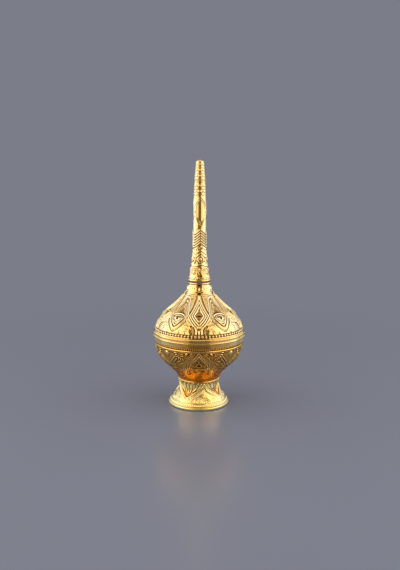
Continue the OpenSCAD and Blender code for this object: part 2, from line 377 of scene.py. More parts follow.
def lining(outline, floor=None, spacing=8.0):
    """Sections that close a wall inside: from its top edge down to its bottom edge, or to a floor."""
    inner = outline.rows(spacing, inward=WALL)[::-1]
    inner[:, 1] = np.clip(inner[:, 1], outline.low, outline.high)
    top, bottom = outline.points[-1:], outline.points[:1]
    if floor is None:
        return [np.vstack([top, inner, bottom])]
    corner = (float(np.interp(floor, inner[::-1, 1], inner[::-1, 0])), floor)
    wall = inner[inner[:, 1] > floor + FLOOR_STEP]
    return [np.vstack([top, wall, [corner, (0, floor)]]), np.vstack([[(0, outline.low)], bottom])]


def blurred(grid, reach):
    """A grid of values round a form, averaged over a square reach of cells to each side."""
    total = sum(np.roll(grid, k, axis=0) for k in range(-reach, reach + 1))
    padded = np.pad(total, ((0, 0), (reach, reach)), mode="edge")
    rows = grid.shape[1]
    total = sum(padded[:, k:k + rows] for k in range(2 * reach + 1))
    return total / (2 * reach + 1) ** 2


def lifted(obj, height, group=""):
    """Move a surface along its normals by a height in mm."""
    lift = obj.modifiers.new("lift", "DISPLACE")
    lift.mid_level = 0
    lift.strength = height * MM
    lift.vertex_group = group
    applied(obj, "lift")


def with_middles(rows):
    """Rows with one more halfway between each two."""
    fine = np.empty((2 * len(rows) - 1, 2))
    fine[::2] = rows
    fine[1::2] = (rows[1:] + rows[:-1]) / 2
    return fine


def pressed_relief(name, outline, rows, columns, strokes, fields, repeats, turn):
    """The height in mm at each crossing of rows and columns of a skin that is pressed down
    over strokes and over a ground with sunk fields."""
    below, above = outline.beyond(PAST)
    ground = turned(name + "_ground", [np.vstack([below, rows, above])], columns)
    angle, _, z = polar(positions(ground))
    across, depth = folded(angle, repeats, turn), np.zeros(len(z))
    for corners, field_depth, _ in fields:
        depth[inside(across, z, corners)] = field_depth
    depth = blurred(depth.reshape(columns, -1), 1).ravel()
    lifted(ground, -DEEPEST, weigh(ground, "sunk", np.round(depth / DEEPEST, 2)))
    paths = [(outline.place(*stroke.path.T, stroke.proud), stroke.radius * MM) for stroke in strokes]
    work = drawn(name + "_work", paths, thickness=1.0)

    skin = turned(name + "_skin", [rows], columns)
    _, r0, z0 = polar(positions(skin))
    lifted(skin, LIFT)
    press = skin.modifiers.new("press", "SHRINKWRAP")
    press.wrap_method = "PROJECT"
    press.target = work
    press.auxiliary_target = ground
    press.use_positive_direction = False
    press.use_negative_direction = True
    press.project_limit = 2 * LIFT * MM
    applied(skin, "press")
    _, r, z = polar(positions(skin))
    for spare in (work, ground, skin):
        bpy.data.objects.remove(spare)
    out_r, out_z = outline.normal(z0)
    return ((r - r0) * out_r + (z - z0) * out_z).reshape(columns, -1)


def eased(grid):
    """A grid of values round a form, with each cell softened by its neighbours."""
    grid = (np.roll(grid, 1, axis=0) + 2 * grid + np.roll(grid, -1, axis=0)) / 4
    padded = np.pad(grid, ((0, 0), (1, 1)), mode="edge")
    return (padded[:, :-2] + 2 * grid + padded[:, 2:]) / 4


def pressed(name, outline, columns, spacing, strokes, inner, fields=(), repeats=1, turn=0.0, pits=(),
            hidden=None):
    """A turned wall whose outer face is pressed over strokes, between sunk fields. columns is
    how many points it has round it, and spacing the distance between its rows in mm.
    A field is (corners, depth, grain): corners in folded (angle, height), and grain from 0,
    smooth, to 1, fully punched. A pit is (angle, height, half width, half height, depth), with
    the angle folded too. hidden holds two heights between which the girdle covers the wall, so
    that it needs no rows there. inner holds the sections that close the wall."""
    rows = outline.rows(spacing)
    if hidden:
        rows = rows[(rows[:, 1] < hidden[0]) | (rows[:, 1] > hidden[1])]
    relief = pressed_relief(name, outline, with_middles(rows), 2 * columns, strokes, fields,
                            repeats, turn)
    # How deep each point lies below the level round it, painted as shade in creases and round pits
    hollow = eased(blurred(relief, AROUND) - relief)[::2, ::2].ravel()
    relief = eased(relief)[::2, ::2]
    relief[:, [0, -1]] = 0
    relief = relief.ravel()

    skin = turned(name, [rows], columns)
    angle, _, z = polar(positions(skin))
    across = folded(angle, repeats, turn)
    for spot, height, half, tall, depth in pits:
        aside = (across - spot) * np.radians(outline.radius(z))
        away = (aside / half) ** 2 + ((z - height) / tall) ** 2
        relief -= depth * np.clip(1 - away, 0, 1)
        hollow += depth * np.clip(PIT_SHADE - away, 0, 1)
    grain = np.zeros(len(z))
    for corners, _, field_grain in fields:
        grain[inside(across, z, corners)] = field_grain
    out_r, out_z = outline.normal(z)
    facing = np.radians(angle)
    outward = np.column_stack([out_r * np.sin(facing), -out_r * np.cos(facing), out_z])
    placed = positions(skin) + outward * relief[:, None] * MM
    skin.data.vertices.foreach_set("co", placed.ravel())
    note(skin, "relief", relief)
    note(skin, "hollow", hollow)
    note(skin, "grain", grain)

    back = turned(name + "_lining", inner, columns)
    only(skin)
    back.select_set(True)
    bpy.ops.object.join()
    welded(skin)
    bpy.ops.object.shade_smooth_by_angle(angle=math.radians(SMOOTH))
    return skin


# Outlines of the pieces, on the frame's own levels

def levels(part):
    """Lowest and highest level of a node in mm."""
    low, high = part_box(part)
    return low[2] / MM, high[2] / MM


def widest(part):
    """Largest radius of a node in mm."""
    low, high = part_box(part)
    return max(high[0], -low[0]) / MM


foot_low, foot_high = levels("foot")
bowl_low, belt = levels("bowl")
_, neck_top = levels("dome")
spout_low, seam = levels("spout")
tip_high = levels("sprinkler_tip")[1]
girdle_low, girdle_high = levels("girdle")
body_r = widest("bowl")
rim_r = widest("foot_rim")
neck_r = widest("neck_collar")
spout_r = widest("spout")
seam_r = widest("sprinkler_tip")

# Radii in mm that no box gives
FOOT_TOP_R = 21.3
STEM_R = 21.4
TUBE_R = 6.6
CROWN_R = 3.9
# Keeps the flat end of the crown's outline rising, so that its heights stay in order
RISING = 0.001

# Leans of the outlines, and the spots in (radius, height) where two curves meet
waist_lean = leaning(1.15, 1)
shoulder_lean = leaning(-1.18, 1)
turn_spot = np.array([34, bowl_low + 16])
neck_spot = np.array([29, belt + 30.6])
tube_spot = np.array([TUBE_R, spout_low + 43])
seam_spot = np.array([seam_r, seam])
crown_spot = np.array([CROWN_R, tip_high - 2.4])

# Each curve is given as its first point, two handles and its last point
foot_outline = Outline([
    cubic((rim_r - 0.7, foot_low), (rim_r - 0.1, foot_low + 2), (FOOT_TOP_R - 4.3, foot_high - 11.6),
          (FOOT_TOP_R, foot_high))])

stem_start = np.array([STEM_R, bowl_low])
belly_end = np.array([body_r, girdle_low])
bowl_outline = Outline([
    cubic(stem_start, stem_start + 7.5 * leaning(0.3, 1), turn_spot - 2 * waist_lean, turn_spot),
    cubic(turn_spot, turn_spot + 3 * waist_lean, belly_end - [0, 15], belly_end),
    np.array([belly_end, (body_r, belt)])])

shoulder_start = np.array([body_r, girdle_high])
shoulder = cubic(shoulder_start, shoulder_start + [0, 11.5], neck_spot - 3 * shoulder_lean, neck_spot)
neck_end = np.array([neck_r, neck_top])
neck = cubic(neck_spot, neck_spot + 10 * shoulder_lean, neck_end - [0, 10.8], neck_end)
dome_outline = Outline([np.array([(body_r, belt), shoulder_start]), shoulder, neck])

spout_start = np.array([spout_r, spout_low])
spout_outline = Outline([
    cubic(spout_start, spout_start + 6 * leaning(-0.3, 1), tube_spot - [0, 18], tube_spot),
    cubic(tube_spot, tube_spot + [0, 16], seam_spot - [-0.8, 16], seam_spot)])

tip_outline = Outline([
    cubic(seam_spot, seam_spot + [-0.4, 7], crown_spot + [0.2, -4], crown_spot),
    cubic(crown_spot, crown_spot + [-0.1, 1.7], (CROWN_R / 2, tip_high),
          (HOLE_R, tip_high + RISING))])


# Ornament of the dome, in (angle from a lozenge's axis, height). Each path is one half of a
# mirrored pair: the lozenge is on the axis at 0, and the eye on the one at 36 degrees.

LOZENGE = [
    straight((0, 114.6), (16.4, 99), (3.6, 90.2)),
    straight((0, 110.4), (12.4, 99), (0, 90.8)),
    straight((0, 106.6), (8.4, 99), (0, 93.4)),
]
STEM = straight((18.8, 98.4), (12.2, 93.8), (5.8, 89.4)) + flow((4.4, 88), (3.7, 85.6), (4.6, 82.6))
EYE_FRAME = [
    flow((36, 114.2), (31.5, 113.6), (28.2, 111), (25, 107.3), (22.2, 103.7), (20.2, 100.7), (19.8, 98.8)),
    flow((36, 111.2), (31.6, 109.6), (28.2, 106.8), (25.2, 103.6), (23, 100.6), (22.4, 98.7),
         (26.2, 95.6), (31, 92.2), (36, 89.8)),
]
EYE_BROW = flow((36, 108.2), (32.2, 106.8), (28.8, 104.1), (26.2, 101.5), (24.8, 99.9))


def dome_strokes():
    form = dome_outline
    edge = 180 / DOME_REPEATS
    paired = [line(path, 0.8, 0.62) for path in LOZENGE + EYE_FRAME]
    paired += [
        fading(flow((19.8, 98.8), (24.4, 94.4), (30.2, 90.2), (35, 87.4)), 0.75, 0.5),
        line(STEM, 0.6, 0.5),
        line(EYE_BROW, 0.5, 0.4),
        line(flow((24.8, 98), (28.6, 99.2), (32.4, 99.7), (36, 99.8)), 0.8, 0.7),
        line(flow((26.6, 96.4), (30, 94), (33, 92.6), (36, 92.2)), 0.6, 0.45),
        fading(arc(form, 17.4, 83.6, 3.3, -40, 190), 0.5, 0.4, both=True),
        fading(arc(form, 17.4, 83.6, 1.5, -150, 120), 0.5, 0.4, both=True),
        vein((12.4, 82.6), (12.8, 86), (15, 88.8), (19, 90), (23.2, 88.2), (25.4, 84), rise=0.32),
        vein((11.6, 90.6), (15, 92.6), (18.8, 94.6), rise=0.3),
        vein((13.6, 93.8), (17, 95.8), (20, 96.6), width=0.4, rise=0.3),
    ]
    paired += seeds(form, (27.6, 84, 4.6, 1.0, 0.5, 40, 0.4), (33, 83, 3.0, 0.8, 0.4, 20, 0.4),
                    (9.4, 119.4, 2.8, 0.5, 0.4, 100, 0.5), (14, 122.8, 4.2, 0.6, 0.35, 14, 0.35),
                    (25, 122.6, 4.0, 0.7, 0.3, -16, 0.4))
    paired += fan(form, 13.6, 84.6, 4.9, range(-118, -20, 17), 3.0, 0.52, 0.5, base=-0.4)
    paired += ribs(form, straight((21.8, 94.2), (34.8, 85.4)), 10, 2.8, 0.46, 0.5, 82, base=-0.4)
    for height in (114.6, 116, 117.4):
        paired.append(line(straight((11, height), (edge, height)), 0.5, 0.38))
    single = [fading(flow((-7, 98.7), (-4, 99.5), (0, 99.8), (4, 99.5), (7, 98.7)), 1.1, 0.85,
                     both=True, base=-0.7)]
    single += seeds(form, (-1.5, 95.7, 1.9, 0.8, 0.7, 0, 0.5, -0.8), (1.5, 95.7, 1.9, 0.8, 0.7, 0, 0.5, -0.8),
                    (edge, 95.8, 10.5, 2.5, 1.0, 90), (0, 115.2, 2.2, 0.8, 0.4, 0, 0.35),
                    (0, 84.4, 4.6, 0.6, 0.4), (0, 121.8, 4.2, 0.9, 0.35, 0, 0.35),
                    (edge, 122.4, 4.4, 0.9, 0.35, 0, 0.6))
    petals = row(form, 84, 80.4, 3.6, 1.0, 0.6, base=-0.35, blunt=0.42)
    rings = [ring(78.6, 0.4, 0.3), ring(118.5, 0.42, 0.24), ring(neck_top - 0.8, 0.5, 0.25)]
    return repeated(paired, single, DOME_REPEATS) + petals + rings


def dome_fields():
    form = dome_outline
    diamond = [(-7.4, 99), (0, 106), (7.4, 99), (0, 94)]
    brow = [(36, 107.4), (32.4, 106), (29, 103.3), (25.2, 99.8), (36, 100.4), (46.8, 99.8),
            (43, 103.3), (39.6, 106)]
    flat = [
        ([(0, 78.4), (40, 78.4), (40, 82.0), (0, 82.0)], 0.35, 0),
        ([(3.4, 118), (8, 118), (10.4, 115), (14, 109.6), (17, 104.4), (20, 100), (18.2, 99.4), (14, 104.4),
          (10.2, 109), (5.4, 113.2)], 0.8, 0),
        groove(form, straight((17.6, 98.4), (11.6, 94), (5.4, 89.6)), 1.2, 0.7),
        groove(form, straight((1, 112.6), (14.4, 99), (1.6, 90.6)), 1.2, 0.35),
        groove(form, straight((0, 108.6), (10.4, 99), (0, 92)), 1.2, 0.35),
        groove(form, flow((34, 112.8), (29.8, 110.4), (26.6, 107), (23.6, 103.6), (21.4, 100.6)), 1.2, 0.5),
        groove(form, flow((31, 113.8), (28, 112.8), (24, 107.8), (21, 103.8), (19, 100.8)), 1.1, 0.4),
        groove(form, flow((35, 109.4), (31.8, 108), (28.4, 105.2), (25.4, 102.2), (23.6, 99.8)), 1.0, 0.5),
        groove(form, flow((21, 98.2), (25.4, 94.6), (30.6, 90.8), (36, 88)), 1.1, 0.35),
        ([(20.4, 98.4), (24.4, 98), (26, 96.8), (24, 95.4)], 0.5, 0),
        ([(24.8, 97.8), (27, 96.8), (31, 99), (36, 99.3), (36, 98.8), (41, 98.9), (45, 96.8), (47, 97.8),
          (42, 99.6), (36, 100.4), (30, 99.8)], 0.4, 0),
        ([(4.6, 82), (4.4, 86), (6.2, 88.8), (10, 90.6), (12.6, 89.8), (10, 86.8), (9, 82)], 0.45, 0),
        ([(20.2, 95.4), (24, 92.4), (30, 88.4), (36, 85.8), (36, 83.2), (32.6, 84.6), (27, 88.2),
          (21.6, 91.8), (19, 94.2)], 0.4, 0),
        ([(13.8, 91), (17.8, 92.6), (21, 90.6), (25.6, 86.6), (23.6, 88.6), (19, 90.6), (15, 89.4)], 0.15, 1),
        ([(-1, 82.2), (3, 82.2), (2.2, 86.2), (0, 87.6), (-1, 87.6)], 0.4, 0),
    ]
    return flat + stepped(diamond, (0, 99), 1.1, grain=0) + stepped(brow, (36, 101.6), 0.8, grain=0.6)


DOME_PITS = [(36, 95.6, 1.3, 0.9, 0.8), (0, 125.4, 1.6, 0.8, 0.4), (0, 117.2, 1.6, 1.2, 0.6),
             (7.4, 120, 0.8, 0.5, 0.3), (12.6, 118.9, 1.2, 0.5, 0.3)]


# Ornament of the bowl, in (angle from a tall arch's axis, height). CROSSED holds the ribbons
# that cross between two arches.

TALL_ARCH = [
    flow((0, 64.3), (1.2, 62.5), (3, 60.3), (5.5, 58), (9, 55.6), (12.5, 53.3), (15.3, 50.5), (17, 47.5),
         (18.2, 44), (20, 40.4), (24, 37.4)),
    flow((0, 60.6), (1.5, 59), (4, 57), (7, 55), (10.5, 52.7), (13, 50), (14.5, 46.5), (14.8, 43.4)),
]
CROSSED = [
    flow((31.4, 59.4), (36, 56.3), (40, 53.3), (45, 50)),
    flow((30.4, 56.8), (34, 54.4), (38.4, 51.4), (43, 48.4)),
    flow((45, 50), (40, 47.7), (36, 46), (30, 44.2), (24, 44), (20.6, 45.6)),
    flow((24, 44), (27, 43), (31, 40), (34, 36), (38, 33), (45, 31.4)),
]


def bowl_strokes():
    form = bowl_outline
    edge = 180 / BOWL_REPEATS
    paired = [line(path, 0.7, 0.58) for path in TALL_ARCH + CROSSED]
    paired += [
        line(flow((0, 45.2), (6, 45.2), (10, 44.6), (12, 43.4), (12.4, 40.6)), 0.6, 0.45),
        line(arc(form, 0, 49.6, 2.5, -90, 90), 0.5, 0.4),
        fading(flow((0, 56.4), (4.6, 54.4), (9, 51.6), (11.4, 48.4)), 0.42, 0.32),
    ]
    paired += seeds(form, (19.6, 39.2, 6.8, 1.6, 0.6, 130), (32, 42.6, 8.6, 1.3, 0.6, 112, 0.45),
                    (36, 50, 3.2, 1.3, 0.7, 60), (15.8, 62.4, 4.8, 1.2, 0.7, 136, 0.42),
                    (9.6, 62.6, 3.4, 0.8, 0.45, 128, 0.42))
    paired += [
        line(arc(form, 21, 64.4, 4.6, -98, -8), 0.5, 0.4),
        line(arc(form, 21, 64.4, 2.8, -98, -8), 0.5, 0.4),
        vein((23, 55), (28, 53.6), (33, 51.4)),
        vein((21.6, 52.4), (26, 51.2), (30.4, 49.2)),
        vein((20.6, 49.6), (24, 48.6), (27.6, 47)),
        vein((4, 38.6), (8, 40.4), (11, 43)),
    ]
    paired += fan(form, 21, 64.4, 7.6, range(98, 184, 16), 4.8, 0.8, 0.85, base=-0.1)
    echoed = flow((4, 59.4), (8.6, 56.2), (13.4, 53.2), (17.4, 49))
    for higher in (1.6, 3.2, 4.8):
        paired.append(fading([(a, h + higher) for a, h in echoed], 0.4, 0.28, both=True))
    single = seeds(form, (edge, 60, 9.0, 3.6, 1.3, 0, 0.7), (edge, 50, 2.4, 1.1, 0.6),
                   (0, 39.8, 5.0, 1.3, 0.5, 0, 0.4), (0, 53.6, 2.6, 0.8, 0.4, 0, 0.35),
                   (edge, 37, 6.6, 1.5, 0.5), (edge, 44.2, 3.4, 1.3, 0.5))
    dentils = row(form, 144, girdle_low - 1.5, 2.8, 0.7, 0.5, base=-0.3)
    rings = [ring(65.3, 0.75, 0.45), ring(63.9, 0.4, 0.3), ring(bowl_low + 1.4, 0.5, 0.35)]
    return repeated(paired, single, BOWL_REPEATS) + rings + dentils


def bowl_fields():
    form = bowl_outline
    return [
        ([(-1, 66), (50, 66), (50, girdle_low), (-1, girdle_low)], 0.3, 0),
        ([(2.4, 63.6), (4.8, 60.4), (10, 56.6), (16.4, 51.6), (18.6, 47.4), (23, 45.6), (31, 47), (41, 50),
          (36, 54.6), (30, 58.4), (25, 61.6), (23, 63.6)], 0.3, 1),
        ([(31, 61.2), (36, 58), (41, 54.4), (46, 52), (46, 63.4), (31, 63.4)], 0.25, 0.3),
        groove(form, flow((0, 62.4), (2.4, 59.7), (6.6, 56.4), (11.6, 53.1), (14.8, 49.6), (16.4, 46)),
               0.9, 0.5),
        ([(-1, 57.6), (0, 57.6), (4, 55.4), (9, 52.4), (12.4, 48.6), (13.4, 46.4), (-1, 46.4)], 0.45, 0.5),
        ([(-1, 47.2), (8, 46.8), (11, 45.6), (8, 46), (-1, 46.2)], 0.7, 0),
        ([(0, 43.8), (8, 43.6), (11, 42.4), (11, 40), (5, 40), (0, 42)], 0.4, 0.3),
        ([(26, 45.4), (31, 45.6), (36, 47.4), (46, 48), (46, 42), (38, 41), (40, 42.6), (30, 43.8)],
         0.35, 0.5),
        ([(15.6, 43.6), (17.4, 43.6), (19.6, 40.6), (24, 38), (21, 36), (16, 38)], 0.35, 0.3),
    ]


BOWL_PITS = [(0, 49.6, 1.0, 0.9, 0.6), (36, 50, 0.6, 0.6, 0.4), (11.8, 60, 0.8, 0.6, 0.3)]


# Ornament of the foot, in (angle from an arch's axis, height)

FOOT_ARCH = [
    flow((0, 25), (3, 22.6), (8, 20.3), (14, 18.7), (19, 17.4), (26, 15.8), (31, 14.4), (37, 12.4),
         (45, 10.6)),
    flow((0, 22.4), (4, 20.2), (9, 18.3), (15, 16.8), (21, 15.2), (28, 13.4), (34, 11.6), (40, 9.8),
         (45, 8.8)),
]
# Leaves that fan out over the arch: four points of each, and its half width
LEAVES = [
    ((42, 15), (37.4, 18.8), (34.4, 22), (33.2, 25.9), 1.4),
    ((34, 16.4), (25, 19.2), (20.6, 21.8), (18, 25.9), 1.3),
    ((26, 17.6), (16, 20), (11, 22), (7.4, 25.2), 0.9),
]


def leaf(points, width):
    """A leaf of the foot that swells from its tip to its end."""
    path = flow(*points)
    return Stroke(path, width, 0.9, np.linspace(0.1, 1, len(path)) ** 0.8, -0.4)


def foot_strokes():
    form = foot_outline
    edge = 180 / FOOT_REPEATS
    paired = [line(FOOT_ARCH[0], 0.75, 0.6), line(FOOT_ARCH[1], 0.6, 0.5)]
    paired += [leaf(points, width) for *points, width in LEAVES]
    paired += ribs(form, flow((4, 19), (10, 16.6), (18, 14.2), (27, 11.8), (34, 9.8)),
                   13, 2.8, 0.5, 0.45, 96)
    paired += [
        fading(arc(form, 0, 7.4, 2.2, 90, -10), 0.5, 0.4),
        fading(arc(form, 0, 7.4, 3.8, 90, -10), 0.5, 0.4),
        fading(arc(form, 0, 7.4, 5.4, 90, -6), 0.42, 0.34),
        fading(arc(form, 21, 9.2, 1.6, 200, -60), 0.45, 0.35, both=True),
    ]
    for height in (7.6, 8.8, 10.0):
        paired.append(fading(straight((edge, height), (31, height)), 0.42, 0.28))
    single = [
        leaf([(edge, 13.4), (edge, 19), (edge, 25.9)], 1.4),
        seed(form, 0, 8.0, 2.4, 0.9, 0.5, 0, 0.35),
    ]
    rings = [ring(6.4, 0.45, 0.35), ring(3.9, 0.42, 0.3)]
    border = row(form, 90, 5.2, 2.2, 0.6, 0.4, base=-0.2)
    return repeated(paired, single, FOOT_REPEATS, FOOT_TURN) + rings + border


def foot_fields():
    return [
        ([(-1, 4.2), (50, 4.2), (50, 6.2), (-1, 6.2)], 0.2, 0),
        ([(2.4, 26.3), (4.6, 22.8), (8.8, 21), (14.4, 19.4), (20.4, 17.8), (27, 16.2), (37, 13.4), (46, 11.6),
          (46, 26.3)], 0.7, 0),
        ([(-1, 21), (0, 21), (4, 19.2), (9, 17.4), (15, 15.8), (21, 14.2), (28, 12.4), (34, 10.6), (32, 7),
          (-1, 7)], 0.2, 0.4),
    ]


# Ornament of the spout, its trumpet first and then its slender tube, and of the tip

def scale_rows(form, low, high):
    """Rows of ten round scales, each row set half a scale round from the last."""
    strokes, count = [], 10
    for level, height in enumerate(np.arange(low, high, 2.8)):
        for k in range(count):
            angle = 360 * (k + 0.5 * (level % 2)) / count
            half = math.pi * form.radius(height) / count
            strokes.append(line(arc(form, angle, height, half * 0.9, 180, 360, 8), 0.42, 0.3))
    return strokes


def spout_strokes():
    form = spout_outline
    edge = 180 / TRUMPET_REPEATS
    paired = [
        line(flow((0, 160.5), (12, 159.4), (26, 158), (edge, 156.2)), 0.42, 0.32),
        line(flow((0, 157.6), (12, 156.2), (24, 154.8), (34, 153.8), (edge, 153)), 0.42, 0.32),
        line(flow((0, 154.8), (10, 153.8), (18, 152), (20, 150.6), (16, 149), (8, 148), (0, 147.8)),
             0.42, 0.32),
        line(flow((0, 146), (14, 145.6), (30, 144.6), (edge, 144)), 0.5, 0.36),
    ]
    paired += seeds(form, (30, 150.4, 4.2, 0.7, 0.4, 40, 0.4), (16, 162.8, 3.4, 0.6, 0.35, 30, 0.4),
                    (34, 162, 4.0, 0.6, 0.3, -24, 0.4), (14, 132.8, 3.0, 0.8, 0.4, 70),
                    (36, 133, 3.0, 0.8, 0.4, 110))
    paired.append(vein((3, 137), (8, 141), (14, 143.6)))
    paired += fan(form, 29, 137, 3.9, range(-84, 90, 24), 3.6, 0.46, 0.42, base=-0.2)
    single = seeds(form, (0, 151.2, 3.0, 1.0, 0.5), (0, 139.6, 5.4, 0.8, 0.4, 0, 0.4),
                   (0, 163.6, 2.0, 0.8, 0.4), (edge, 148.6, 5.0, 0.8, 0.35), (edge, 138, 5.0, 0.8, 0.35))
    trumpet = repeated(paired, single, TRUMPET_REPEATS, SPOUT_TURN)

    edge = 180 / TUBE_REPEATS
    paired = [
        line(flow((0, 213.2), (16, 211.8), (32, 209.6), (46, 207.2), (edge, 205)), 0.4, 0.3),
        line(flow((0, 211), (14, 209.8), (28, 207.8), (40, 204.6), (44, 200), (38, 194.6), (20, 190),
                  (0, 187)), 0.4, 0.3),
        line(flow((0, 184.8), (20, 187.6), (38, 191.4), (edge, 195)), 0.38, 0.28),
        seed(form, 52, 199.8, 5.4, 0.6, 0.3, -10, 0.5),
    ]
    for height in np.arange(168.4, 184, 2.6):
        chevron = [(a, height - 6.2 * math.sin(math.radians(a))) for a in np.linspace(0, edge, 12)]
        paired.append(line(chevron, 0.62, 0.6, base=-0.05))
    tube = repeated(paired, [], TUBE_REPEATS, SPOUT_TURN)
    scales = scale_rows(form, 217, seam - 1)
    rings = [ring(spout_low + 0.7, 0.6, 0.25), ring(spout_low + 2.2, 0.42, 0.28), ring(165.4, 0.42, 0.3),
             ring(seam - 0.6, 0.4, 0.25)]
    return trumpet + tube + scales + rings


def spout_fields():
    edge = 180 / TRUMPET_REPEATS
    return [
        ([(10, 135.2), (edge, 135.2), (edge, 141.8), (30, 142.6), (16, 141.4)], 0.2, 0),
        ([(-1, 149), (10, 149), (16, 150.6), (12, 152.8), (-1, 154)], 0.25, 0.5),
        ([(24, 147), (edge, 146.6), (edge, 152), (26, 153)], 0.2, 0.5),
    ]


SPOUT_PITS = [(0, 134.6, 1.3, 0.9, 0.4), (0, 145, 1.0, 0.5, 0.2)]


def tip_strokes():
    return scale_rows(tip_outline, seam + 3, tip_high - 3.4) + [ring(seam + 0.7, 0.42, 0.28)]


# Finishes

HAIR_DEPTH = 0.0002     # m, depth of the finest scratches
PUNCH_DEPTH = 0.00035   # m, depth of the punched grain

# Gold seen at a slant and straight on: the rest is between the two. The paler colour at a slant is a painted
# sheen, and the deeper one straight on a painted dark reflection
GOLD = ((1.0, 0.82, 0.44, 1), (0.82, 0.46, 0.11, 1))
# The bowl's copy of the gold, deeper and more orange as a painted reflection of the gold round it
SHADED_DEEP_GOLD = ((1.0, 0.60, 0.15, 1), (0.95, 0.42, 0.06, 1))
# The foot's and foot rim's copy of the gold, paler and brighter straight on as painted light
LIT_PALE_GOLD = ((1.0, 0.84, 0.42, 1), (1.0, 0.68, 0.17, 1))
# The girdle's copy of the gold, darker straight on as painted shade
SHADED_BELT_GOLD = ((1.0, 0.78, 0.34, 1), (0.64, 0.32, 0.06, 1))
PLAIN_BRASS = ((0.62, 0.45, 0.18, 1), (0.5, 0.34, 0.12, 1))
ZINC = ((0.56, 0.56, 0.54, 1), (0.44, 0.44, 0.43, 1))
# Painted reflection on the bowl's stem, painted highlight on high spots, painted shade in sunk fields and in
# creases
STEM_REFLECTION_GOLD = (1.0, 0.32, 0.015, 1)
PAINTED_HIGHLIGHT_GOLD = (1.0, 0.86, 0.5, 1)
SUNK_SHADE_GOLD = (0.50, 0.20, 0.02, 1)
CREASE_SHADE_GOLD = (0.09, 0.034, 0.004, 1)


def plugged(tree, socket, value):
    """Link a socket to another one, or give it a value."""
    if isinstance(value, bpy.types.NodeSocket):
        tree.links.new(value, socket)
    else:
        socket.default_value = value


def node(tree, kind, settings=None, **inputs):
    """A shader node with its settings and inputs. An underscore in a name stands for a space."""
    made = tree.nodes.new(kind)
    for key, value in (settings or {}).items():
        setattr(made, key, value)
    for key, value in inputs.items():
        plugged(tree, made.inputs[key.replace("_", " ")], value)
    return made


def reckoned(tree, operation, *values, clamp=False):
    """The outcome of one arithmetic node."""
    made = node(tree, "ShaderNodeMath", {"operation": operation, "use_clamp": clamp})
    for socket, value in zip(made.inputs, values):
        plugged(tree, socket, value)
    return made.outputs[0]


def ramped(tree, value, start, stop, top=1.0, **settings):
    """0 where a value is at its start, top at its stop, and between the two in between."""
    made = node(tree, "ShaderNodeMapRange", settings, Value=value, From_Min=start, From_Max=stop, To_Max=top)
    return made.outputs[0]


def mixed(tree, share, first, second):
    """A colour between two, of which the second one has a share."""
    made = node(tree, "ShaderNodeMix", {"data_type": "RGBA"}, Factor=share)
    plugged(tree, made.inputs[6], first)
    plugged(tree, made.inputs[7], second)
    return made.outputs[2]


def noise(tree, place, **inputs):
    """The level of a cloudy pattern at a place."""
    return node(tree, "ShaderNodeTexNoise", Vector=place, **inputs).outputs["Fac"]


def handled_metal():
    """Group: uneven tone, hairline scratches and soft smudges of handled metal."""
    group = bpy.data.node_groups.new("handled_metal", "ShaderNodeTree")
    for label in ("Smudge", "Scratch"):
        group.interface.new_socket(label, in_out="INPUT", socket_type="NodeSocketFloat")
    for label in ("Tone", "Roughness", "Height"):
        group.interface.new_socket(label, in_out="OUTPUT", socket_type="NodeSocketFloat")
    start = group.nodes.new("NodeGroupInput").outputs
    end = group.nodes.new("NodeGroupOutput").inputs
    place = node(group, "ShaderNodeTexCoord").outputs["Object"]
    cloud = noise(group, place, Scale=90.0, Detail=4.0)
    fine = noise(group, place, Scale=900.0, Detail=3.0)
    stretched = node(group, "ShaderNodeMapping", Vector=place, Scale=(1, 1, 14)).outputs["Vector"]
    hair = noise(group, stretched, Scale=420.0, Detail=2.0)
    tone = ramped(group, cloud, 0.3, 0.7)
    scratch = reckoned(group, "MULTIPLY", hair, start["Scratch"])
    plugged(group, end["Tone"], tone)
    plugged(group, end["Roughness"], reckoned(group, "MULTIPLY", tone, start["Smudge"]))
    plugged(group, end["Height"], reckoned(group, "ADD", scratch, fine))
    return group


HANDLED = handled_metal()


def handled(tree, smudge, scratch):
    """What the handling marks of one material put out."""
    made = node(tree, "ShaderNodeGroup", {"node_tree": HANDLED}, Smudge=smudge, Scratch=scratch)
    return made.outputs


def new_material(name):
    """A material, its tree of nodes and its main shader."""
    material = bpy.data.materials.new(name)
    material.use_nodes = True
    tree = material.node_tree
    return material, tree, tree.nodes["Principled BSDF"]


def finished(tree, shader, base, rough, bump, metallic):
    """Feed a shader its colour, its roughness and its bumps."""
    plugged(tree, shader.inputs["Base Color"], base)
    plugged(tree, shader.inputs["Roughness"], rough)
    plugged(tree, shader.inputs["Normal"], bump.outputs["Normal"])
    shader.inputs["Metallic"].default_value = metallic


def tone_and_painted_sheen(tree, wear, colors):
    """A metal's colour, a little uneven, paler towards its edges as a painted sheen and deeper where it faces
    the view as a painted dark reflection.
    """
    facing = node(tree, "ShaderNodeLayerWeight", Blend=0.5).outputs["Facing"]
    # painted sheen and dark reflection: the slant colour takes over as the surface turns away from the view
    edge = ramped(tree, facing, 0.02, 0.38)
    share = reckoned(tree, "MULTIPLY_ADD", wear["Tone"], -0.2, edge, clamp=True)
    return mixed(tree, share, colors[1], colors[0])


